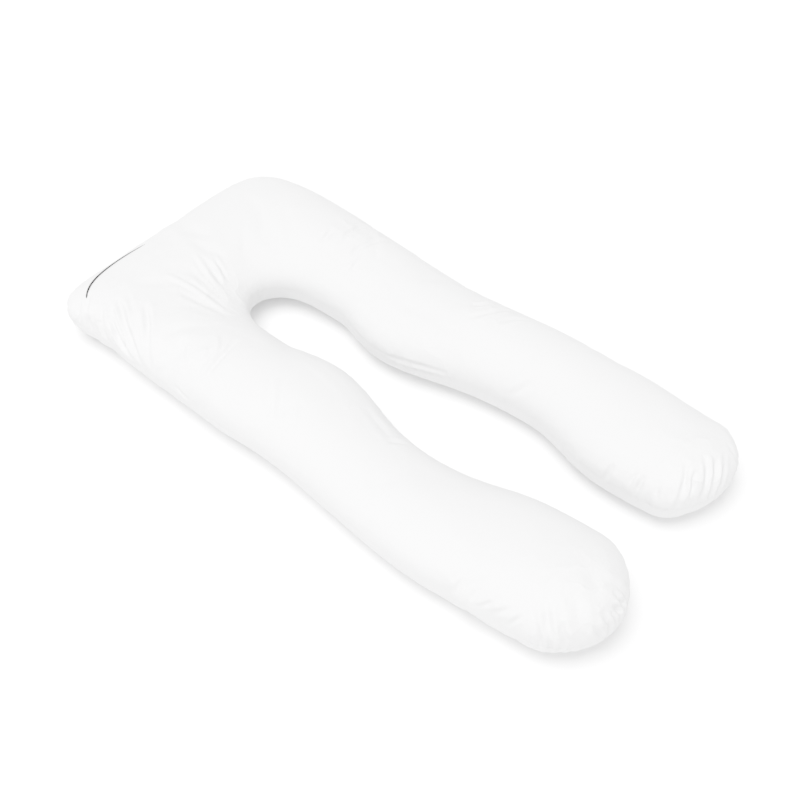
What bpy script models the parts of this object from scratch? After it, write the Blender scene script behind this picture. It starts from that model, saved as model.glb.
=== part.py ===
"""U-shaped body pillow: one sewn cotton case, filled, lying on a flat surface.

Metres, +Z up. The origin is on the surface, under the middle of the pillow. The head, the part that
joins the two arms, is towards +Y, the near arm is at -X and the far arm at +X. Upper and lower panel
meet in one seam that runs all the way round, a little below half height.
"""
from collections import namedtuple
from math import cos, pi, sin

import bmesh
import bpy
from mathutils import Vector

# Plan of the head. Its sections fan out from the hub, a point on the pillow's centre line. The head's
# outer edge isn't quite square to the arms: it lies further out at the near corner.
HEAD_REACH_NEAR = 0.625   # hub to the head's outer edge, at the near side
HEAD_REACH_FAR = 0.565    # and at the far side
HEAD_THICK = 0.158        # at the centre line
HEAD_SECTIONS = 47        # between the two arms
CORNER_CROWDING = 0.65    # 0 spaces them evenly, 1 puts them all at the corners and the arms
CROTCH_REACH_NEAR = 0.256 # hub to the inner edge, where the arms part, at the near side
CROTCH_REACH_FAR = 0.228  # and at the far side
CROTCH_ROUND = 2.6        # 2 is an ellipse, more is squarer
EVENING_PASSES = 6        # how far the inner edge is evened out, where arms and head meet

# Cross-section: a crowned cushion with its sides drawn in to the seam
SEAM_SHARE = 0.46         # height of the seam as a share of the thickness
SEAM_DRAW = 0.005         # how far the seam pulls the side in
CROWN_POWER = 0.90        # 1 is an ellipse, less is fuller
BELLY_POWER = 0.77
SINK = 0.010              # how far the round underside would dip below the surface that flattens it
RING_POINTS = 28

# Along an arm
STEP = 0.027              # from one section to the next
TIP_STEPS = 9
TIP_CLOSE = 0.10          # the last section's width, as a share of the arm's
TIP_ROUND = 1.75          # the tip in plan: 2 is an ellipse, more is squarer
TIP_THICK_ROUND = 2.1     # and in side view

ArmRow = namedtuple("ArmRow", "share outer inner thick")
Arm = namedtuple("Arm", "side run tip tip_shift corner_round corner_thick rows")

# A row for each section of an arm: its place as a share of the run, the distances of its outer and
# inner edge from the centre line, and its thickness. The inner edges leave a bay for the belly and
# close in again above the feet.
NEAR_ARM = Arm(
    side=-1, run=0.918, tip=0.134, tip_shift=0.005, corner_round=15.0, corner_thick=0.0,
    rows=(
        ArmRow(0.00, 0.375, 0.090, 0.180),
        ArmRow(0.12, 0.366, 0.053, 0.176),
        ArmRow(0.25, 0.366, 0.070, 0.171),
        ArmRow(0.38, 0.374, 0.110, 0.165),
        ArmRow(0.52, 0.383, 0.118, 0.161),
        ArmRow(0.66, 0.388, 0.100, 0.169),
        ArmRow(0.80, 0.377, 0.054, 0.176),
        ArmRow(1.00, 0.355, 0.040, 0.185),
    ),
)
FAR_ARM = Arm(
    side=1, run=0.938, tip=0.100, tip_shift=0.020, corner_round=6.5, corner_thick=0.008,
    rows=(
        ArmRow(0.00, 0.382, 0.088, 0.153),
        ArmRow(0.12, 0.377, 0.052, 0.155),
        ArmRow(0.25, 0.377, 0.072, 0.158),
        ArmRow(0.38, 0.388, 0.111, 0.162),
        ArmRow(0.52, 0.401, 0.133, 0.166),
        ArmRow(0.66, 0.407, 0.137, 0.166),
        ArmRow(0.80, 0.415, 0.095, 0.166),
        ArmRow(1.00, 0.406, 0.110, 0.165),
    ),
)

Section = namedtuple("Section", "outer inner thick lift")


def between(before, start, end, after, t):
    """A smooth curve from start to end, which passes before and after on either side."""
    return 0.5 * (2 * start + (end - before) * t + (2 * before - 5 * start + 4 * end - after) * t ** 2
                  + (3 * start - before - 3 * end + after) * t ** 3)


def closing(t, power):
    """1 at t = 0 and 0 at t = 1, round at the end: 2 is a circle, more is squarer."""
    return (1 - t ** power) ** (1 / power)


def rounded_box(across, along, width, reach, power):
    """Distance to the edge of a rounded box, in the direction (across, along)."""
    return (abs(across / width) ** power + abs(along / reach) ** power) ** (-1 / power)


def from_near_to_far(near, far, c):
    """A size that changes evenly across the head, where c is -1 at the near side and 1 at the far one."""
    return near + (far - near) * (1 + c) / 2


def arm_sections(arm):
    """The sections of one arm, from the head to the tip."""
    rows = [arm.rows[1], *arm.rows, arm.rows[-2]]   # mirrored at both ends, so that they run straight
    smooth = []
    for i in range(1, len(rows) - 2):
        steps = round((rows[i + 1].share - rows[i].share) * arm.run / STEP)
        for step in range(steps):
            smooth.append(ArmRow(*(between(*column, step / steps) for column in zip(*rows[i - 1:i + 3]))))
    smooth.append(arm.rows[-1])

    sections = []
    for row in smooth:
        outer = Vector((arm.side * row.outer, -row.share * arm.run))
        inner = Vector((arm.side * row.inner, -row.share * arm.run))
        sections.append(Section(outer, inner, row.thick, 1.0))

    last = sections[-1]
    middle = (last.outer + last.inner) / 2
    half = (last.outer - last.inner) / 2
    for step in range(1, TIP_STEPS + 1):
        t = sin(pi / 2 * step / TIP_STEPS) * closing(TIP_CLOSE, 2)
        centre = middle + Vector((t * t * arm.tip_shift, -t * arm.tip))
        width = half * closing(t, TIP_ROUND)
        sections.append(Section(centre + width, centre - width, last.thick, closing(t, TIP_THICK_ROUND)))
    return sections


def head_sections():
    """The head's sections, fanned out from the near arm's first section to the far arm's."""
    sections = []
    for step in range(1, HEAD_SECTIONS + 1):
        turn = step / (HEAD_SECTIONS + 1)
        turn -= CORNER_CROWDING * sin(6 * pi * turn) / (6 * pi)
        angle = pi * (1 - turn)
        c, s = cos(angle), sin(angle)
        arm = NEAR_ARM if c < 0 else FAR_ARM
        first = arm.rows[0]
        head_reach = from_near_to_far(HEAD_REACH_NEAR, HEAD_REACH_FAR, c)
        crotch_reach = from_near_to_far(CROTCH_REACH_NEAR, CROTCH_REACH_FAR, c)
        outer = Vector((c, s)) * rounded_box(c, s, first.outer, head_reach, arm.corner_round)
        inner = Vector((c, s)) * rounded_box(c, s, first.inner, crotch_reach, CROTCH_ROUND)
        thick = first.thick * c * c + HEAD_THICK * s * s + arm.corner_thick * sin(2 * angle) ** 2
        sections.append(Section(outer, inner, thick, 1.0))
    return sections


def even_out_inner_edge(sections):
    """Lets the inner edge run from the arms into the crotch without a kink. The tips stay as they are."""
    for _ in range(EVENING_PASSES):
        inner = [section.inner for section in sections]
        for i in range(TIP_STEPS + 1, len(sections) - TIP_STEPS - 1):
            sections[i] = sections[i]._replace(inner=(inner[i - 1] + 2 * inner[i] + inner[i + 1]) / 4)


def ring(section):
    """The points round one section, from the outer seam over the crown and back underneath."""
    middle = (section.outer + section.inner) / 2
    half = (section.outer - section.inner) / 2
    seam = SEAM_SHARE * section.thick
    points = []
    for k in range(RING_POINTS):
        angle = 2 * pi * k / RING_POINTS
        across, up = cos(angle), sin(angle)
        if k in (0, RING_POINTS // 2):
            across *= 1 - SEAM_DRAW * section.lift / max(half.length, SEAM_DRAW)
        place = middle + half * across
        if up >= 0:
            z = seam + (section.thick - seam) * up ** CROWN_POWER * section.lift
        else:
            z = max(0.0, seam - (seam + SINK) * (-up) ** BELLY_POWER * section.lift)
        points.append((place.x, place.y, z))
    return points


def centre_on_surface(bm):
    """Moves the mesh so that the middle of its plan is over the origin."""
    for axis in (0, 1):
        values = [v.co[axis] for v in bm.verts]
        middle = (min(values) + max(values)) / 2
        for v in bm.verts:
            v.co[axis] -= middle


def make_pillow(material):
    """The filled case, one closed mesh: rings of points joined from one section to the next."""
    sections = arm_sections(NEAR_ARM)[::-1] + head_sections() + arm_sections(FAR_ARM)
    even_out_inner_edge(sections)
    bm = bmesh.new()
    rings = [[bm.verts.new(point) for point in ring(section)] for section in sections]
    for one, two in zip(rings, rings[1:]):
        for k in range(RING_POINTS):
            n = (k + 1) % RING_POINTS
            bm.faces.new((one[k], two[k], two[n], one[n]))
    bm.faces.new(rings[0])
    bm.faces.new(rings[-1])
    bmesh.ops.recalc_face_normals(bm, faces=bm.faces)
    centre_on_surface(bm)
    mesh = bpy.data.meshes.new("pillow")
    bm.to_mesh(mesh)
    bm.free()
    mesh.shade_smooth()
    mesh.materials.append(material)
    pillow = bpy.data.objects.new("pillow", mesh)
    bpy.context.scene.collection.objects.link(pillow)


def make_cotton():
    """White cotton sateen."""
    material = bpy.data.materials.new("cotton")
    material.use_nodes = True
    shader = material.node_tree.nodes["Principled BSDF"]
    shader.inputs["Base Color"].default_value = (0.86, 0.86, 0.85, 1.0)
    shader.inputs["Roughness"].default_value = 0.75
    shader.inputs["Metallic"].default_value = 0.0
    return material


for old in list(bpy.data.objects):
    bpy.data.objects.remove(old, do_unlink=True)
make_pillow(make_cotton())
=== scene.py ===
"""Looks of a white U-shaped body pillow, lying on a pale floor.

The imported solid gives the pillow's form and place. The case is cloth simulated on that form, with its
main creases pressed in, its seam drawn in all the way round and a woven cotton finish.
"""
from collections import namedtuple
from math import cos, pi, radians, sin

import bmesh
import bpy
import numpy as np
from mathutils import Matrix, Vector, kdtree
from mathutils.bvhtree import BVHTree


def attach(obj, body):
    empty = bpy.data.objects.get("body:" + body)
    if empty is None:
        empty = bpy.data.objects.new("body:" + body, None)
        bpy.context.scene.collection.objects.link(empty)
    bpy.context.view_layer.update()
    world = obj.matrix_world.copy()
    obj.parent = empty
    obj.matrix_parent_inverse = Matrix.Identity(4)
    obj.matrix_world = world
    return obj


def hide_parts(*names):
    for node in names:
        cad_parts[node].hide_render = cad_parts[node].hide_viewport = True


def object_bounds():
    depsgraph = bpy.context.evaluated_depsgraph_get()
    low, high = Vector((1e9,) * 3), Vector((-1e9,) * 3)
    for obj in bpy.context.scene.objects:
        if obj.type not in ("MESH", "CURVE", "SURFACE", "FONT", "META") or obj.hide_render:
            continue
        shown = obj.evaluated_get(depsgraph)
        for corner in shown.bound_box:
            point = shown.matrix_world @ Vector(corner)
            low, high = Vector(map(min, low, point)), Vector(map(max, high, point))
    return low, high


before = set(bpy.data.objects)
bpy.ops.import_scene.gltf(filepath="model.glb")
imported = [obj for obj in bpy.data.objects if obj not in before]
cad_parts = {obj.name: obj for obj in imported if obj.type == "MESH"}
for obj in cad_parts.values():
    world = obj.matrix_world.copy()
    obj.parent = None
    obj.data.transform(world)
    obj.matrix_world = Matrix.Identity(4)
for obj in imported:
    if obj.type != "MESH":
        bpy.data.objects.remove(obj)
cad_low, cad_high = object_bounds()
scene = bpy.context.scene


# ---- The filled case -------------------------------------------------------------------------------
# Two panels of white cotton, sewn together all round and stuffed with fibre through a gap in the seam.
# The filling rounds the panels out. More cloth is cut than the round form needs at the corners, the
# tips and along the seam, so it creases there, and the crotch pulls the cloth around it tight.

MERGE = 0.00001           # the solid's loose triangles meet within this
SAME_FACE = radians(50)   # neighbouring triangles that turn less than this make one face
CLOTH_GRID = 0.0138       # spacing of the simulated cloth
SEAM_HEIGHT = 0.078
SPARE_CLOTH = 0.060       # how much longer than the form the cloth is, at the seam
SPARE_REACH = 0.038       # how far from the seam that goes
CLOTH_FRAMES = 25
LOOSE_FOLDS = 0.045       # cloth folds up to about this wide are kept, wider swelling isn't
FOLD_LIMIT = 0.008        # a simulated fold stands no further off the form than this
CONTACT = 0.0015          # what lies lower than this rests on the floor and is held there
PLUMP = 0.0020            # how far the stuffed case stands out from the form
PLUMP_FROM = 0.02         # in full from this height up, and not at all where it lies on the floor
Pull = namedtuple("Pull", "place reach shift")
PULLS = (                 # where the case's corners stand out past the filling
    Pull((-0.390, 0.750, 0.080), 0.048, (-0.010, 0.004, 0.0)),
    Pull((0.330, -0.775, 0.085), 0.080, (0.006, -0.004, 0.0)),
)
Calm = namedtuple("Calm", "place reach share")
CALMS = (                 # in plan, where the cloth is drawn smooth over the filling
    Calm((-0.090, 0.800), 0.150, 0.8),
    Calm((0.150, 0.760), 0.150, 0.6),
)


def make_real(piece):
    """Turns what the piece's modifiers make into its mesh."""
    mesh = bpy.data.meshes.new_from_object(piece.evaluated_get(bpy.context.evaluated_depsgraph_get()))
    piece.modifiers.clear()
    piece.data = mesh


def points_of(mesh):
    """The places of a mesh's points, one row each."""
    values = np.empty(len(mesh.vertices) * 3)
    mesh.vertices.foreach_get("co", values)
    return values.reshape(-1, 3)


def normals_of(mesh):
    """Which way the surface faces at each point."""
    values = np.empty(len(mesh.vertices) * 3)
    mesh.vertex_normals.foreach_get("vector", values)
    return values.reshape(-1, 3)


def set_points(mesh, points):
    """Moves a mesh's points to their new places."""
    mesh.vertices.foreach_set("co", points.ravel())
    mesh.update()


def evened_out(mesh, values, passes):
    """The values, each averaged with those of the neighbouring points, so many times over."""
    ends = np.empty(len(mesh.edges) * 2, np.int64)
    mesh.edges.foreach_get("vertices", ends)
    one, other = ends.reshape(-1, 2).T
    count = len(values)
    neighbours = np.bincount(one, minlength=count) + np.bincount(other, minlength=count)
    for _ in range(passes):
        total = np.stack([np.bincount(one, column[other], count) + np.bincount(other, column[one], count)
                          for column in values.T], axis=1)
        values = (values + total / neighbours[:, None]) / 2
    return values


def near(points, place, reach):
    """1 at a place in plan, fading to 0 over the reach."""
    away = np.hypot(points[:, 0] - place[0], points[:, 1] - place[1])
    return np.exp(-(away / reach) ** 2)


case = bpy.data.objects.new("case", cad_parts["pillow"].data.copy())
scene.collection.objects.link(case)
bm = bmesh.new()
bm.from_mesh(case.data)
bmesh.ops.remove_doubles(bm, verts=bm.verts, dist=MERGE)
bmesh.ops.join_triangles(bm, faces=bm.faces, angle_face_threshold=SAME_FACE, angle_shape_threshold=SAME_FACE)
bm.to_mesh(case.data)
bm.free()
rounder = case.modifiers.new("rounder", "SUBSURF")
rounder.levels = rounder.render_levels = 2
even_grid = case.modifiers.new("even_grid", "REMESH")
even_grid.mode = "VOXEL"
even_grid.voxel_size = CLOTH_GRID
make_real(case)

form = points_of(case.data)
plump = normals_of(case.data) * PLUMP
for pull in PULLS:
    away = np.linalg.norm(form - pull.place, axis=1)
    plump += np.exp(-(away / pull.reach) ** 2)[:, None] * np.array(pull.shift)
form += plump * np.clip(form[:, 2:3] / PLUMP_FROM, 0, 1)
set_points(case.data, form)
seam_band = np.exp(-((form[:, 2] - SEAM_HEIGHT) / SPARE_REACH) ** 2)
spare = case.vertex_groups.new(name="spare_cloth")
held = case.vertex_groups.new(name="held")
for i, share in enumerate(seam_band):
    spare.add([i], float(share), "REPLACE")
held.add(np.nonzero(form[:, 2] < CONTACT)[0].tolist(), 1.0, "REPLACE")

cloth = case.modifiers.new("cloth", "CLOTH")
cotton_cloth = cloth.settings
cotton_cloth.quality = 4
cotton_cloth.mass = 0.15
cotton_cloth.tension_stiffness = cotton_cloth.compression_stiffness = 40
cotton_cloth.shear_stiffness = 13
cotton_cloth.bending_stiffness = 0.1
cotton_cloth.tension_damping = cotton_cloth.compression_damping = cotton_cloth.shear_damping = 5
cotton_cloth.air_damping = 2
cotton_cloth.use_pressure = True
cotton_cloth.uniform_pressure_force = 2
cotton_cloth.effector_weights.gravity = 0
cotton_cloth.vertex_group_mass = held.name
cotton_cloth.vertex_group_shrink = spare.name
cotton_cloth.shrink_min = 0
cotton_cloth.shrink_max = -SPARE_CLOTH
cloth.collision_settings.use_collision = False
for number in range(1, CLOTH_FRAMES + 1):
    scene.frame_set(number)
make_real(case)
moved = points_of(case.data) - form
swelling = evened_out(case.data, moved, round(4 * (LOOSE_FOLDS / CLOTH_GRID) ** 2))
folds = moved - swelling
size = np.linalg.norm(folds, axis=1, keepdims=True)
folds *= FOLD_LIMIT * np.tanh(size / FOLD_LIMIT) / np.maximum(size, 1e-9)
for calm in CALMS:
    folds *= 1 - calm.share * near(form, calm.place, calm.reach)[:, None]
set_points(case.data, form + folds)

finer = case.modifiers.new("finer", "SUBSURF")
finer.levels = finer.render_levels = 1
make_real(case)


# ---- Creases ---------------------------------------------------------------------------------------
# The main creases of the cloth, as it lies: pulls from the seam at the head's corner, rays around the
# crotch, and short puckers where the seam rounds the tips. Each is a soft trough with a lip on either
# side, or a ridge where its depth is negative.

Crease = namedtuple("Crease", "start middle end width depth")
CREASES = (
    # near corner of the head, from the crown down to the seam
    Crease((-0.330, 0.745, 0.138), (-0.366, 0.712, 0.120), (-0.386, 0.690, 0.080), 0.0075, 0.0065),
    Crease((-0.368, 0.738, 0.115), (-0.381, 0.728, 0.100), (-0.386, 0.722, 0.072), 0.0060, 0.0052),
    Crease((-0.341, 0.676, 0.143), (-0.367, 0.655, 0.124), (-0.386, 0.628, 0.088), 0.0080, 0.0068),
    Crease((-0.330, 0.661, 0.149), (-0.374, 0.590, 0.121), (-0.388, 0.518, 0.090), 0.0080, 0.0078),
    Crease((-0.300, 0.664, 0.156), (-0.357, 0.560, 0.136), (-0.388, 0.500, 0.094), 0.0085, 0.0084),
    Crease((-0.272, 0.588, 0.163), (-0.321, 0.525, 0.156), (-0.384, 0.456, 0.104), 0.0090, 0.0072),
    Crease((-0.352, 0.640, 0.138), (-0.366, 0.620, 0.127), (-0.378, 0.590, 0.113), 0.0070, -0.0039),
    Crease((-0.384, 0.372, 0.108), (-0.387, 0.346, 0.098), (-0.387, 0.322, 0.094), 0.0060, 0.0046),
    # rays around the crotch
    Crease((-0.168, 0.628, 0.161), (-0.152, 0.535, 0.156), (-0.146, 0.425, 0.147), 0.0070, -0.0036),
    Crease((-0.190, 0.560, 0.162), (-0.172, 0.490, 0.156), (-0.155, 0.400, 0.150), 0.0095, 0.0032),
    Crease((-0.064, 0.626, 0.158), (-0.084, 0.560, 0.153), (-0.100, 0.490, 0.144), 0.0070, -0.0035),
    Crease((-0.048, 0.585, 0.154), (-0.062, 0.540, 0.148), (-0.075, 0.500, 0.140), 0.0065, -0.0030),
    Crease((-0.110, 0.600, 0.158), (-0.116, 0.540, 0.154), (-0.122, 0.470, 0.146), 0.0090, 0.0018),
    Crease((-0.216, 0.312, 0.175), (-0.282, 0.302, 0.176), (-0.362, 0.300, 0.142), 0.0080, 0.0050),
    Crease((-0.240, 0.360, 0.175), (-0.268, 0.330, 0.176), (-0.318, 0.312, 0.168), 0.0070, -0.0032),
    Crease((-0.276, 0.419, 0.170), (-0.310, 0.390, 0.165), (-0.334, 0.362, 0.158), 0.0070, -0.0022),
    # near arm: two soft ridges across it and the pull at the inside of its waist
    Crease((-0.240, 0.150, 0.175), (-0.294, 0.112, 0.167), (-0.336, 0.080, 0.150), 0.0090, -0.0030),
    Crease((-0.258, 0.068, 0.171), (-0.282, 0.052, 0.168), (-0.304, 0.040, 0.163), 0.0080, -0.0024),
    Crease((-0.152, -0.035, 0.143), (-0.168, -0.100, 0.148), (-0.190, -0.178, 0.149), 0.0110, 0.0020),
    Crease((-0.200, -0.163, 0.152), (-0.180, -0.177, 0.146), (-0.160, -0.190, 0.134), 0.0070, 0.0028),
    # near arm: short puckers above the seam, towards its tip
    Crease((-0.358, -0.518, 0.140), (-0.371, -0.519, 0.128), (-0.386, -0.516, 0.098), 0.0060, 0.0026),
    Crease((-0.356, -0.560, 0.139), (-0.370, -0.557, 0.126), (-0.382, -0.549, 0.104), 0.0070, 0.0034),
    Crease((-0.360, -0.598, 0.133), (-0.369, -0.592, 0.121), (-0.380, -0.572, 0.098), 0.0055, 0.0030),
    Crease((-0.350, -0.640, 0.138), (-0.365, -0.626, 0.122), (-0.376, -0.606, 0.098), 0.0070, 0.0036),
    Crease((-0.346, -0.672, 0.138), (-0.361, -0.663, 0.122), (-0.370, -0.646, 0.090), 0.0060, 0.0034),
    # far arm: its shoulder, its outer edge and long pulls along the inner one
    Crease((0.180, 0.400, 0.161), (0.212, 0.403, 0.162), (0.240, 0.406, 0.161), 0.0060, 0.0042),
    Crease((0.232, 0.364, 0.159), (0.287, 0.370, 0.151), (0.348, 0.356, 0.118), 0.0072, 0.0064),
    Crease((0.202, 0.307, 0.156), (0.255, 0.308, 0.153), (0.330, 0.280, 0.128), 0.0072, 0.0054),
    Crease((0.150, 0.285, 0.148), (0.182, 0.290, 0.153), (0.216, 0.296, 0.155), 0.0065, -0.0028),
    Crease((0.268, -0.044, 0.154), (0.302, -0.068, 0.147), (0.350, -0.084, 0.122), 0.0068, 0.0054),
    Crease((0.222, -0.070, 0.161), (0.282, -0.100, 0.155), (0.332, -0.122, 0.138), 0.0070, 0.0052),
    Crease((0.258, -0.136, 0.161), (0.301, -0.159, 0.155), (0.334, -0.186, 0.142), 0.0070, 0.0046),
    Crease((0.050, 0.060, 0.078), (0.068, -0.020, 0.088), (0.096, -0.110, 0.092), 0.0065, 0.0036),
    Crease((0.056, 0.034, 0.058), (0.074, -0.040, 0.067), (0.104, -0.130, 0.074), 0.0065, 0.0036),
    Crease((0.125, -0.274, 0.108), (0.146, -0.294, 0.130), (0.176, -0.314, 0.148), 0.0085, 0.0026),
    # far tip, across the seam
    Crease((0.112, -0.592, 0.128), (0.093, -0.591, 0.106), (0.086, -0.590, 0.082), 0.0065, 0.0058),
    Crease((0.124, -0.668, 0.134), (0.104, -0.668, 0.115), (0.096, -0.668, 0.066), 0.0065, 0.0058),
    Crease((0.134, -0.704, 0.137), (0.116, -0.708, 0.123), (0.104, -0.713, 0.100), 0.0060, 0.0034),
    Crease((0.200, -0.726, 0.158), (0.156, -0.752, 0.134), (0.118, -0.752, 0.066), 0.0075, 0.0066),
    Crease((0.196, -0.752, 0.150), (0.176, -0.764, 0.138), (0.158, -0.776, 0.110), 0.0065, 0.0034),
    Crease((0.244, -0.744, 0.160), (0.212, -0.780, 0.141), (0.174, -0.792, 0.092), 0.0080, 0.0052),
    Crease((0.262, -0.766, 0.152), (0.226, -0.794, 0.130), (0.199, -0.802, 0.084), 0.0075, 0.0064),
    Crease((0.292, -0.772, 0.144), (0.252, -0.800, 0.120), (0.230, -0.808, 0.082), 0.0070, 0.0036),
    Crease((0.318, -0.762, 0.140), (0.312, -0.788, 0.112), (0.302, -0.798, 0.078), 0.0080, 0.0045),
    Crease((0.366, -0.716, 0.118), (0.374, -0.728, 0.098), (0.376, -0.732, 0.072), 0.0080, 0.0045),
    # near tip: broad facets, and puckers across the seam
    Crease((-0.184, -0.700, 0.183), (-0.206, -0.752, 0.174), (-0.254, -0.752, 0.173), 0.0200, 0.0030),
    Crease((-0.256, -0.742, 0.175), (-0.284, -0.768, 0.155), (-0.294, -0.800, 0.100), 0.0150, 0.0040),
    Crease((-0.300, -0.690, 0.170), (-0.332, -0.724, 0.144), (-0.346, -0.748, 0.074), 0.0085, 0.0062),
    Crease((-0.340, -0.704, 0.140), (-0.356, -0.726, 0.106), (-0.360, -0.730, 0.070), 0.0080, 0.0060),
    Crease((-0.312, -0.740, 0.150), (-0.322, -0.764, 0.124), (-0.316, -0.782, 0.084), 0.0080, 0.0045),
    Crease((-0.188, -0.752, 0.173), (-0.171, -0.788, 0.152), (-0.156, -0.808, 0.118), 0.0110, 0.0026),
    Crease((-0.222, -0.806, 0.138), (-0.190, -0.816, 0.128), (-0.160, -0.806, 0.122), 0.0095, 0.0024),
    Crease((-0.240, -0.790, 0.146), (-0.236, -0.812, 0.118), (-0.230, -0.822, 0.084), 0.0070, 0.0066),
    Crease((-0.271, -0.794, 0.132), (-0.262, -0.810, 0.105), (-0.256, -0.816, 0.078), 0.0065, 0.0056),
    Crease((-0.190, -0.786, 0.158), (-0.183, -0.808, 0.136), (-0.179, -0.820, 0.100), 0.0060, 0.0046),
    Crease((-0.208, -0.800, 0.146), (-0.202, -0.816, 0.122), (-0.200, -0.824, 0.088), 0.0060, 0.0050),
)
CREASE_STEPS = 41         # points that a crease's line is followed by
SHARPNESS = 1.5           # 2 would be a round trough
LIP_SHARE = 0.45          # a lip's height, as a share of the trough's depth
LIP_AWAY = 1.7            # its distance from the bottom, in widths
LIP_SPREAD = 0.6          # and how softly it rises and falls
DEEPER = 1.15             # every depth in the table is multiplied by this
TAPER = 0.7               # 1 would fade a crease along its whole length, 0 only at its very ends
FINE_REACH = 2.6          # the cloth's grid is finer within so many widths of a crease
NARROW = 0.0088           # a crease less wide than this has echoes
ECHOES = 2                # at most so many: slighter creases beside it
ECHO_AWAY = (2.0, 3.6)    # from the crease, in its widths
ECHO_SLIP = 0.18          # along it, as a share of its length
ECHO_STRAY = 0.004        # each of an echo's three points strays about this far
ECHO_LENGTH = (0.40, 0.85)
ECHO_WIDTH = 0.75
ECHO_DEPTH = (0.25, 0.55)


def line_of(crease):
    """Points on the curve through a crease's start, middle and end."""
    t = np.linspace(0, 1, CREASE_STEPS)[:, None]
    start, middle, end = (np.array(place) for place in crease[:3])
    return (1 - t) * (1 - 2 * t) * start + 4 * t * (1 - t) * middle + t * (2 * t - 1) * end


def distances_to(points, crease, reach):
    """The points within reach of a crease, their distances from it and how far along it they are."""
    line = line_of(crease)
    near_by = np.nonzero(np.all((points > line.min(0) - reach) & (points < line.max(0) + reach), axis=1))[0]
    distances = np.linalg.norm(points[near_by, None, :] - line, axis=2)
    closest = distances.argmin(axis=1)
    return near_by, distances[np.arange(len(near_by)), closest], closest / (CREASE_STEPS - 1)


def press(points, normals, crease):
    """Moves the points near one crease in along their normals, and out at its lips."""
    near_by, distance, along = distances_to(points, crease, 4 * crease.width)
    away = distance / crease.width
    taper = np.sin(pi * along) ** TAPER
    shape = -np.exp(-away ** SHARPNESS) + LIP_SHARE * np.exp(-(away - LIP_AWAY) ** 2 / LIP_SPREAD)
    points[near_by] += normals[near_by] * (DEEPER * crease.depth * taper * shape)[:, None]


def echo(crease, chance):
    """A slighter crease beside another."""
    places = np.array(crease[:3])
    middle = places.mean(axis=0)
    along = places[2] - places[0]
    sideways = np.array((-along[1], along[0], 0.0))
    sideways /= max(np.linalg.norm(sideways), 1e-6)
    shift = crease.width * chance.uniform(*ECHO_AWAY) * chance.choice((-1, 1))
    share = chance.uniform(*ECHO_LENGTH)
    places = middle + (places - middle) * share + sideways * shift + chance.normal(0, ECHO_STRAY, (3, 3))
    places += along * chance.uniform(-ECHO_SLIP, ECHO_SLIP)
    return Crease(*places, ECHO_WIDTH * crease.width, crease.depth * chance.uniform(*ECHO_DEPTH))


chance = np.random.default_rng(7)
creases = list(CREASES)
for crease in CREASES:
    if crease.width < NARROW:
        creases += [echo(crease, chance) for _ in range(chance.integers(0, ECHOES + 1))]

points = points_of(case.data)
close = np.zeros(len(points), bool)
for crease in creases:
    near_by, distance, _ = distances_to(points, crease, FINE_REACH * crease.width)
    close[near_by[distance < FINE_REACH * crease.width]] = True
bm = bmesh.new()
bm.from_mesh(case.data)
edges = [e for e in bm.edges if close[e.verts[0].index] and close[e.verts[1].index]]
bmesh.ops.subdivide_edges(bm, edges=edges, cuts=1, use_grid_fill=True)
bm.to_mesh(case.data)
bm.free()
fine = points_of(case.data)
evened = evened_out(case.data, fine, 2)
fine[len(points):] = evened[len(points):]
set_points(case.data, fine)

points = points_of(case.data)
normals = normals_of(case.data)
for crease in creases:
    press(points, normals, crease)
set_points(case.data, points)


# ---- The seam --------------------------------------------------------------------------------------
# One plain seam joins the panels at half height. Its thread draws the cloth in to a fine line, and the
# cloth puckers on both sides of it, most where the seam turns round the corners and the tips.

SEAM_WIDTH = 0.0032       # from the seam to the loops above and below it
SEAM_DEPTH = 0.0010       # of the drawn-in line on a straight run
SEAM_DEPTH_TURN = 0.0026  # and where the seam turns tightest
PUCKER_REACH = 0.030      # how far up and down from the seam a pucker fades out
PUCKER_LENGTH = 0.034     # along the seam, from one pucker to the next
PUCKER_SMALL = 0.0009     # height on a straight run
PUCKER_LARGE = 0.0022     # and where the seam turns tightest
PUCKER_FADE = 1.4         # 2 would be a round fade
SEAM_POINT = 0.004        # spacing of the points that the seam's line is read at
HEADING_PASSES = 60       # that even the seam's line out before its heading is read
BEND_PASSES = 20          # and its bend after that
ON_LEVEL = 0.0012         # points this near to a level count as on it, so that no sliver is cut
TIGHT_TURN = 9.0          # 1 over the radius of such a turn
CRINKLE_REACH = 0.075     # how far from a tight turn of the seam the cloth is crinkled
Crinkled = namedtuple("Crinkled", "place reach share")
CRINKLED = (              # in plan, where the cloth is crinkled away from the seam too
    Crinkled((-0.360, 0.640), 0.120, 1.0),
    Crinkled((-0.120, 0.500), 0.110, 0.8),
    Crinkled((-0.320, 0.330), 0.090, 0.7),
    Crinkled((0.290, 0.350), 0.090, 0.9),
    Crinkled((0.290, -0.110), 0.070, 0.8),
    Crinkled((0.080, -0.050), 0.090, 0.7),
    Crinkled((-0.170, -0.120), 0.080, 0.5),
    Crinkled((-0.250, -0.760), 0.120, 1.0),
    Crinkled((0.200, -0.760), 0.120, 1.0),
)


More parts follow.
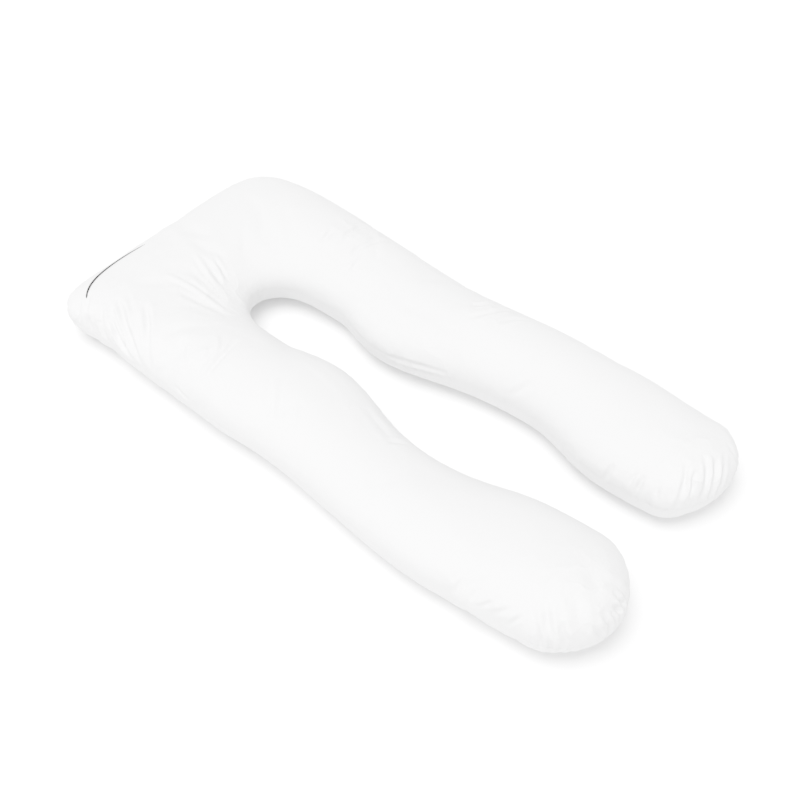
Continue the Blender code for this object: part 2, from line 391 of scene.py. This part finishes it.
def cut_level(mesh, height):
    """Cuts a loop of edges round the case at one height, and gives its points in order."""
    bm = bmesh.new()
    bm.from_mesh(mesh)
    cut = bmesh.ops.bisect_plane(bm, geom=bm.verts[:] + bm.edges[:] + bm.faces[:], dist=ON_LEVEL,
                                 plane_co=(0, 0, height), plane_no=(0, 0, 1))["geom_cut"]
    edges = [e for e in cut if isinstance(e, bmesh.types.BMEdge)]
    loop = list(edges[0].verts)
    left = set(edges[1:])
    onward = [e for e in loop[-1].link_edges if e in left]
    while onward:
        left.remove(onward[0])
        loop.append(onward[0].other_vert(loop[-1]))
        onward = [e for e in loop[-1].link_edges if e in left]
    places = np.array([v.co[:] for v in loop])
    bm.to_mesh(mesh)
    bm.free()
    return places


for level in (SEAM_HEIGHT - SEAM_WIDTH, SEAM_HEIGHT + SEAM_WIDTH):
    cut_level(case.data, level)
seam = cut_level(case.data, SEAM_HEIGHT)
steps = np.linalg.norm(np.diff(seam, axis=0), axis=1)
run = np.concatenate([[0], np.cumsum(steps)])
seam_length = run[-1]
even_run = np.arange(0, seam_length, SEAM_POINT)
seam_line = np.stack([np.interp(even_run, run, column) for column in seam.T], axis=1)


def round_loop(values, passes):
    """Evens out values that go round the seam."""
    for _ in range(passes):
        values = (np.roll(values, 1, axis=0) + 2 * values + np.roll(values, -1, axis=0)) / 4
    return values


smooth_line = round_loop(seam_line, HEADING_PASSES)
heading = np.roll(smooth_line, -1, axis=0) - np.roll(smooth_line, 1, axis=0)
heading /= np.linalg.norm(heading, axis=1, keepdims=True)
turn = np.roll(heading, -1, axis=0) - np.roll(heading, 1, axis=0)
outward = np.stack([heading[:, 1], -heading[:, 0]], axis=1)
bend = -(turn[:, :2] * outward).sum(axis=1) / (2 * SEAM_POINT)
if bend.mean() < 0:        # the cut may run either way round
    bend = -bend
tightness = np.clip(round_loop(bend, BEND_PASSES) / TIGHT_TURN, 0, 1)

tree = kdtree.KDTree(len(seam_line))
for i, place in enumerate(seam_line):
    tree.insert(place, i)
tree.balance()
points = points_of(case.data)
normals = normals_of(case.data)
nearest = np.zeros(len(points), int)
beside_seam = np.full(len(points), 1.0)
for i in np.nonzero(np.abs(points[:, 2] - SEAM_HEIGHT) < 3 * PUCKER_REACH)[0]:
    place, nearest[i], distance = tree.find(points[i])
    beside_seam[i] = distance if points[i, 2] > SEAM_HEIGHT else -distance
along = even_run[nearest]

round_seam = along / seam_length
pucker_turn = 2 * pi * np.round(seam_length / PUCKER_LENGTH) * round_seam


def swing(times, start=0):
    """A wave that goes round the seam so many times."""
    return np.sin(2 * pi * times * round_seam + start)


# the swings make the puckers' spacing and height uneven, and slighter puckers lie between the main ones
wave = np.sin(pucker_turn + 2.2 * swing(41)) * (0.6 + 0.4 * swing(67, 1))
wave += 0.5 * np.sin(1.62 * pucker_turn + 1.5 * swing(29, 2))
height = PUCKER_SMALL + (PUCKER_LARGE - PUCKER_SMALL) * tightness[nearest]
fade = np.exp(-np.abs(beside_seam / PUCKER_REACH) ** PUCKER_FADE)
drawn_in = SEAM_DEPTH + (SEAM_DEPTH_TURN - SEAM_DEPTH) * tightness[nearest]
drawn_in *= np.exp(-(beside_seam / (0.9 * SEAM_WIDTH)) ** 2)
points += normals * (wave * height * fade - drawn_in)[:, None]
points[:, 2] = np.maximum(points[:, 2], cad_low.z)
set_points(case.data, points)
creased = tightness[nearest] * np.exp(-(beside_seam / CRINKLE_REACH) ** 2)
for spot in CRINKLED:
    creased = np.maximum(creased, spot.share * near(points, spot.place, spot.reach))
case.data.attributes.new("creased", "FLOAT", "POINT").data.foreach_set("value", creased)
case.data.shade_smooth()


# ---- Cotton ----------------------------------------------------------------------------------------
# Fine, matt, plain-woven white cotton. Threads cross at right angles, a little uneven in thickness, and
# the cloth keeps soft dents from handling and a sharper crinkle where it is creased.

THREAD = 0.00055          # from one thread to the next
THREAD_HEIGHT = 0.00003
SLUB_SIZE = 0.003
SLUB_HEIGHT = 0.00004
DENT_SIZE = 0.055
DENT_HEIGHT = 0.0011
CRUMPLE_SIZE = 0.014
CRUMPLE_HEIGHT = 0.00035
FACET_SIZE = 0.065
FACET_HEIGHT = 0.0060
CRINKLE_SIZE = 0.022
CRINKLE_HEIGHT = 0.0014
RIDGE_SHARPNESS = 0.8     # 1 would make straight-sided ridges, and less makes sharper ones
WEAVE_TURN = 4            # how sharply one weave gives way to the next where the cloth turns
WHITE = (0.775, 0.775, 0.775)
SHADE = (0.74, 0.74, 0.742)
MOTTLE_SIZE = 0.12
MOTTLE_SHARE = 0.6        # of the white, by the cloth's faint mottle
SLUB_SHARE = 0.3          # and by its slubs
ROUGH = 0.66              # in the dips of the crumple
ROUGHER = 0.16            # and so much more on its ridges
SHINE = 0.2


class Wire:
    """A value in a material. Arithmetic on wires adds the Math nodes that work it out."""

    def __init__(self, nodes, socket):
        self.nodes = nodes
        self.socket = socket

    def math(self, operation, *values):
        return self.nodes.add("ShaderNodeMath", {"operation": operation}, dict(enumerate(values)))

    def __add__(self, other):
        return self.math("ADD", self, other)

    def __radd__(self, other):
        return self.math("ADD", other, self)

    def __sub__(self, other):
        return self.math("SUBTRACT", self, other)

    def __rsub__(self, other):
        return self.math("SUBTRACT", other, self)

    def __mul__(self, other):
        return self.math("MULTIPLY", self, other)

    def __rmul__(self, other):
        return self.math("MULTIPLY", other, self)

    def __truediv__(self, other):
        return self.math("DIVIDE", self, other)

    def __rtruediv__(self, other):
        return self.math("DIVIDE", other, self)

    def __pow__(self, other):
        return self.math("POWER", self, other)

    def __rpow__(self, other):
        return self.math("POWER", other, self)

    def __abs__(self):
        return self.math("ABSOLUTE", self)

    def sine(self):
        return self.math("SINE", self)

    def between(self, low, high):
        return self.math("MINIMUM", self.math("MAXIMUM", self, low), high)


class Nodes:
    """The nodes of one material, or of the sky."""

    def __init__(self, owner):
        owner.use_nodes = True
        self.tree = owner.node_tree

    def add(self, kind, settings=None, inputs=None, output=0):
        """Adds a node, its settings first and then its inputs, and gives one of its outputs."""
        node = self.tree.nodes.new(kind)
        for name, value in (settings or {}).items():
            setattr(node, name, value)
        self.feed(node, inputs or {})
        return Wire(self, node.outputs[output])

    def feed(self, node, inputs):
        """Sets a node's inputs, by name or number, to values or wires."""
        for name, value in inputs.items():
            if isinstance(value, Wire):
                self.tree.links.new(value.socket, node.inputs[name])
            else:
                node.inputs[name].default_value = value


def new_material(name):
    """A material, its nodes and its shader."""
    material = bpy.data.materials.new(name)
    nodes = Nodes(material)
    return material, nodes, nodes.tree.nodes["Principled BSDF"]


def split(vector):
    """A vector's three parts."""
    first = vector.nodes.add("ShaderNodeSeparateXYZ", inputs={0: vector})
    return [Wire(vector.nodes, output) for output in first.socket.node.outputs]


def noise(place, size, detail=2.0):
    """Soft blotches of about a size, from 0 to 1."""
    inputs = {"Vector": place, "Scale": 1 / size, "Detail": detail}
    return place.nodes.add("ShaderNodeTexNoise", inputs=inputs, output="Fac")


def ridges(place, size, detail):
    """Sharp ridges between rounder hollows, from 0 to 1."""
    return 1 - abs(noise(place, size, detail) * 2 - 1) ** RIDGE_SHARPNESS


def blend(share, low, high):
    """A colour between two."""
    inputs = {0: share, 6: (*low, 1), 7: (*high, 1)}
    return share.nodes.add("ShaderNodeMix", {"data_type": "RGBA"}, inputs, output=2)


def bump(height):
    """The normal of a surface that stands out by a height in metres."""
    return height.nodes.add("ShaderNodeBump", inputs={"Height": height, "Distance": 1.0}, output="Normal")


def woven(u, v):
    """Height of a plain weave: at each crossing one thread lies over the other."""
    over = u * v
    return abs(u) * (1 + over) + abs(v) * (1 - over)


cotton, nodes, shader = new_material("cotton")
place = nodes.add("ShaderNodeTexCoord", output="Object")
normal = nodes.add("ShaderNodeNewGeometry", output="Normal")
along_x, along_y, along_z = [(part * (pi / THREAD)).sine() for part in split(place)]
face_x, face_y, face_z = [abs(part) ** WEAVE_TURN for part in split(normal)]
flat_weave = woven(along_x, along_y) * face_z
side_weave = woven(along_y, along_z) * face_x + woven(along_x, along_z) * face_y
weave = (flat_weave + side_weave) / (face_x + face_y + face_z)
dents = noise(place, DENT_SIZE, detail=1.5)
crumple = noise(place, CRUMPLE_SIZE, detail=3.0)
slubs = noise(place, SLUB_SIZE)
mottle = noise(place, MOTTLE_SIZE, detail=4.0)
creased = nodes.add("ShaderNodeAttribute", {"attribute_name": "creased"}, output="Fac")
crinkle = ridges(place, FACET_SIZE, 0.6) * FACET_HEIGHT + ridges(place, CRINKLE_SIZE, 1.5) * CRINKLE_HEIGHT
height = crinkle * creased + weave * THREAD_HEIGHT + slubs * SLUB_HEIGHT
height = height + dents * DENT_HEIGHT + crumple * CRUMPLE_HEIGHT
nodes.feed(shader, {
    "Base Color": blend(mottle * MOTTLE_SHARE + slubs * SLUB_SHARE, SHADE, WHITE),
    "Roughness": ROUGH + crumple * ROUGHER,
    "Specular IOR Level": SHINE,
    "Normal": bump(height),
})
case.data.materials.clear()
case.data.materials.append(cotton)

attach(case, "root")
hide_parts("pillow")


# ---- The dark line ---------------------------------------------------------------------------------
# A plain line of dark thread, sewn to the upper side of the head near its corner. It stands a little
# proud of the cotton, and grows thinner until it lies in the cloth at both ends.

LINE_PLACES = (
    (-0.344, 0.741, 0.137),
    (-0.330, 0.753, 0.138),
    (-0.306, 0.767, 0.137),
    (-0.276, 0.779, 0.135),
    (-0.240, 0.787, 0.132),
    (-0.203, 0.790, 0.131),
    (-0.167, 0.788, 0.130),
    (-0.136, 0.782, 0.131),
    (-0.110, 0.775, 0.132),
)
LINE_POINTS = 60
LINE_EVENING = 10         # passes that round the route off
LINE_RADIUS = 0.0044
LINE_SUNK = 0.0016        # the middle of the thread's round lies this far under the cotton
LINE_END = 0.40           # the radius at the ends, as a share of the full one
STITCH = 0.0009           # from one stitch to the next
STITCH_HEIGHT = 0.00006
FIBRE_SIZE = 0.0008
THREAD_BLACK = (0.003, 0.003, 0.0035)
THREAD_GREY = (0.007, 0.007, 0.008)

bm = bmesh.new()
bm.from_mesh(case.data)
surface = BVHTree.FromBMesh(bm)
bm.free()
route = np.array(LINE_PLACES)
row = np.linspace(0, len(route) - 1, LINE_POINTS)
route = np.stack([np.interp(row, np.arange(len(route)), column) for column in route.T], axis=1)
for _ in range(LINE_EVENING):
    route[1:-1] = (route[:-2] + 2 * route[1:-1] + route[2:]) / 4
curve = bpy.data.curves.new("dark_line", "CURVE")
curve.dimensions = "3D"
curve.bevel_depth = LINE_RADIUS
curve.bevel_resolution = 3
curve.use_fill_caps = True
spline = curve.splines.new("POLY")
spline.points.add(LINE_POINTS - 1)
for i, place in enumerate(route):
    spot, spot_normal, _, _ = surface.find_nearest(Vector(place))
    share = i / (LINE_POINTS - 1)
    spline.points[i].co = (*(spot - spot_normal * LINE_SUNK), 1)
    spline.points[i].radius = LINE_END + (1 - LINE_END) * sin(pi * share ** 0.75) ** 0.7
thread = bpy.data.objects.new("thread", curve)
scene.collection.objects.link(thread)
line = bpy.data.objects.new("dark_line", bpy.data.meshes.new_from_object(
    thread.evaluated_get(bpy.context.evaluated_depsgraph_get())))
bpy.data.objects.remove(thread)
scene.collection.objects.link(line)
line.data.shade_smooth()

dark, nodes, shader = new_material("dark_thread")
place = nodes.add("ShaderNodeTexCoord", output="Object")
x, y, _ = split(place)
stitches = ((x * 0.9 + y * 0.6) * (2 * pi / STITCH)).sine()
nodes.feed(shader, {
    "Base Color": blend(noise(place, FIBRE_SIZE), THREAD_BLACK, THREAD_GREY),
    "Roughness": 0.9,
    "Specular IOR Level": 0.1,
    "Normal": bump(stitches * STITCH_HEIGHT),
})
line.data.materials.clear()
line.data.materials.append(dark)
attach(line, "root")


# ---- Floor, light and camera -----------------------------------------------------------------------
# A plain pale floor under a soft white sky, with one broad lamp high over the head and a weak one beside
# the near arm. The camera stands past the arms' tips on the near side and looks down.

FLOOR_SIZE = 80.0
FLOOR_DROP = 0.0004       # the floor lies this far under the cloth
FLOOR_WHITE = (0.95, 0.95, 0.95)
SKY_STRENGTH = 0.42
SKY_LEAN = 0.7            # how much brighter it is on the camera's side, and darker on the far side
HAZE_STRENGTH = 1.0       # round the horizon, where the sky is as white as the floor
HAZE_LOW = 0.056          # sine of the angle that it reaches up to in full
HAZE_HIGH = 0.085         # and of the angle where it has faded out
Lamp = namedtuple("Lamp", "name away spread strength")
LAMPS = (
    Lamp("lamp", Vector((-0.35, 0.42, 2.6)), radians(42), 2.12),
    Lamp("fill", Vector((-1.5, -0.9, 2.0)), radians(60), 0.15),
)
SOFT_TONES = 2.8          # the tones' gamma, which brings the whites close together
CAMERA_TURN = radians(-49.54)
CAMERA_RISE = radians(51.54)
CAMERA_AWAY = 3.024
CAMERA_LENS = 55.0
AIM = Vector((-0.0395, -0.0657, 0.080))


def link_new(name, data):
    """A new object in the scene."""
    made = bpy.data.objects.new(name, data)
    scene.collection.objects.link(made)
    return made


def turn_to(piece, away):
    """Stands the piece away from the aim, looking at it."""
    piece.location = AIM + away
    piece.rotation_euler = away.to_track_quat("Z", "Y").to_euler()


bm = bmesh.new()
bmesh.ops.create_grid(bm, x_segments=1, y_segments=1, size=FLOOR_SIZE / 2)
bmesh.ops.translate(bm, verts=bm.verts, vec=(0, 0, cad_low.z - FLOOR_DROP))
floor = link_new("floor", bpy.data.meshes.new("floor"))
bm.to_mesh(floor.data)
bm.free()
paint, nodes, shader = new_material("floor_paint")
nodes.feed(shader, {"Base Color": (*FLOOR_WHITE, 1), "Roughness": 0.9})
floor.data.materials.append(paint)

sky = bpy.data.worlds.new("sky")
nodes = Nodes(sky)
x, y, z = split(nodes.add("ShaderNodeTexCoord", output="Generated"))
haze = 1 - ((abs(z) - HAZE_LOW) / (HAZE_HIGH - HAZE_LOW)).between(0, 1)
far = y * cos(CAMERA_TURN) - x * sin(CAMERA_TURN)
glow = (1 - far * SKY_LEAN) * SKY_STRENGTH
strength = glow + haze * (HAZE_STRENGTH - glow)
nodes.feed(nodes.tree.nodes["Background"], {"Color": (1, 1, 1, 1), "Strength": strength})
scene.world = sky

for lamp in LAMPS:
    light = bpy.data.lights.new(lamp.name, "SUN")
    light.angle = lamp.spread
    light.energy = lamp.strength
    turn_to(link_new(lamp.name, light), lamp.away)

camera = link_new("camera", bpy.data.cameras.new("camera"))
camera.data.lens = CAMERA_LENS
turn_to(camera, CAMERA_AWAY * Vector((sin(CAMERA_TURN) * cos(CAMERA_RISE),
                                      -cos(CAMERA_TURN) * cos(CAMERA_RISE), sin(CAMERA_RISE))))
scene.camera = camera
scene.view_settings.view_transform = "Standard"
scene.view_settings.gamma = SOFT_TONES
